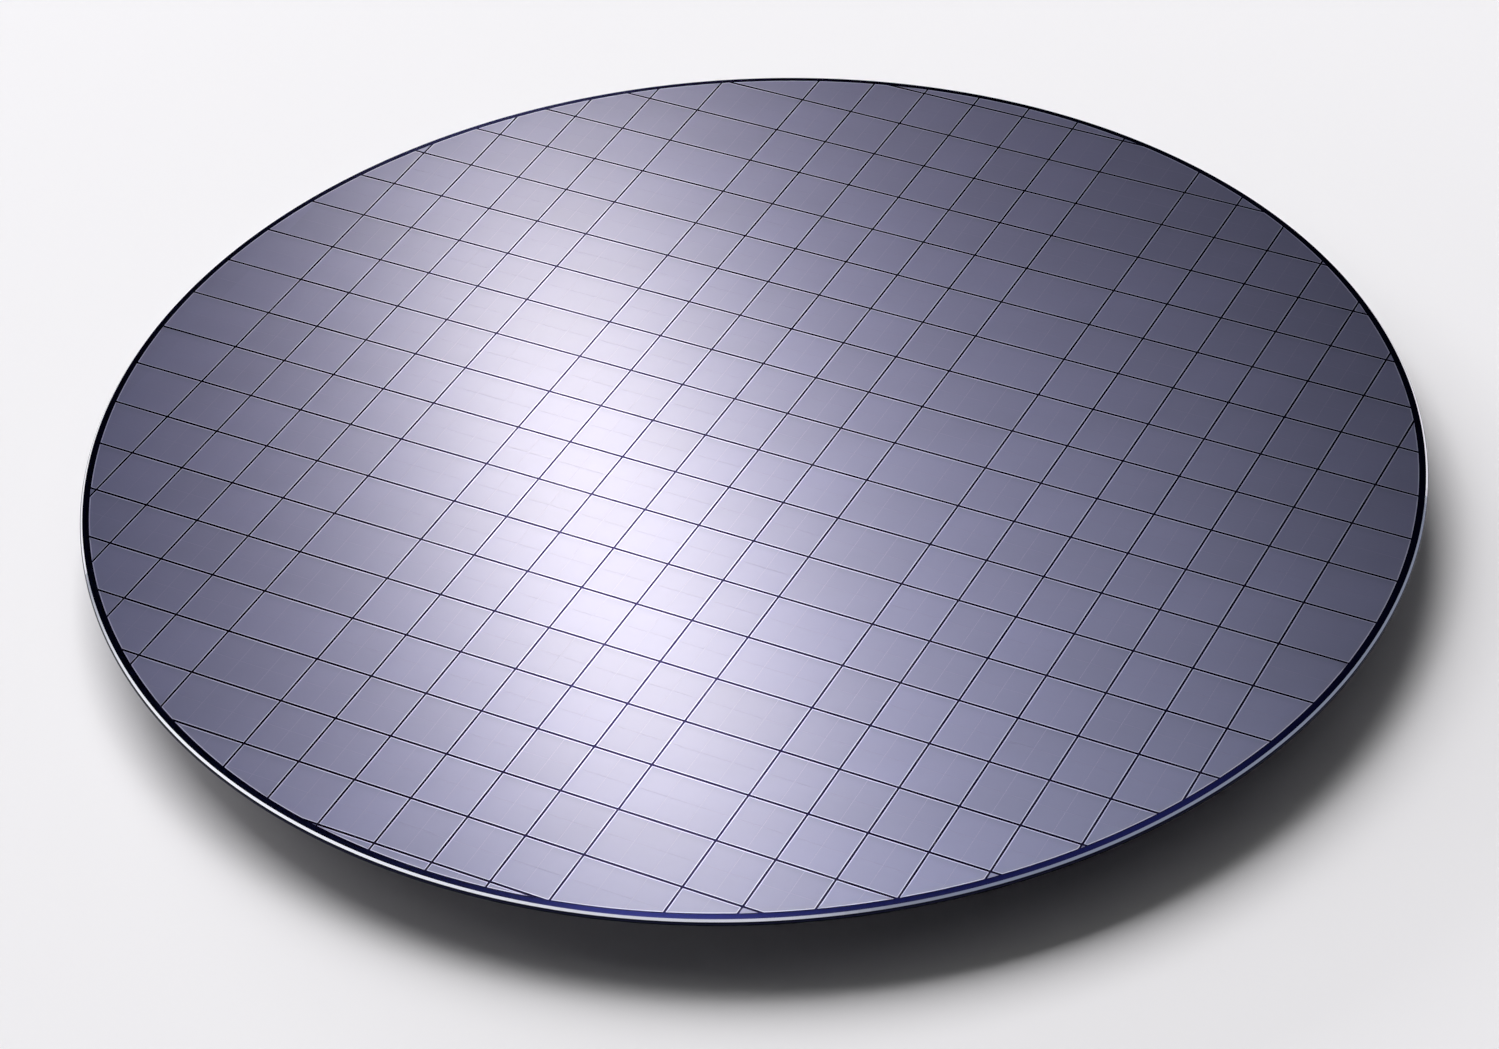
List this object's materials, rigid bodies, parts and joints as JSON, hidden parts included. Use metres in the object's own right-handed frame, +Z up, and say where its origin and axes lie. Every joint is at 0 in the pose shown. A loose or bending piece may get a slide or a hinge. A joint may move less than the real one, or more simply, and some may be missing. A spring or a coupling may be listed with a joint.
{
  "type": "silicon wafer",
  "caption": "Round patterned silicon wafer with a ground edge, a bare rim ring and a full grid of rectangular dies parted by etched saw streets.",
  "frame": {"origin": "middle of the underside, which is the face the wafer rests on", "axes": "+Z is up through the thickness, from the plain back to the die face; +X runs along the rows of dies and +Y along their columns"},
  "size_m": [0.3, 0.3, 0.002],
  "materials": {
    "wafer": "polished silicon with a glossy blue-violet film of dies"
  },
  "bodies": {
    "root": {"wafer": "wafer"}
  },
  "joints": []
}
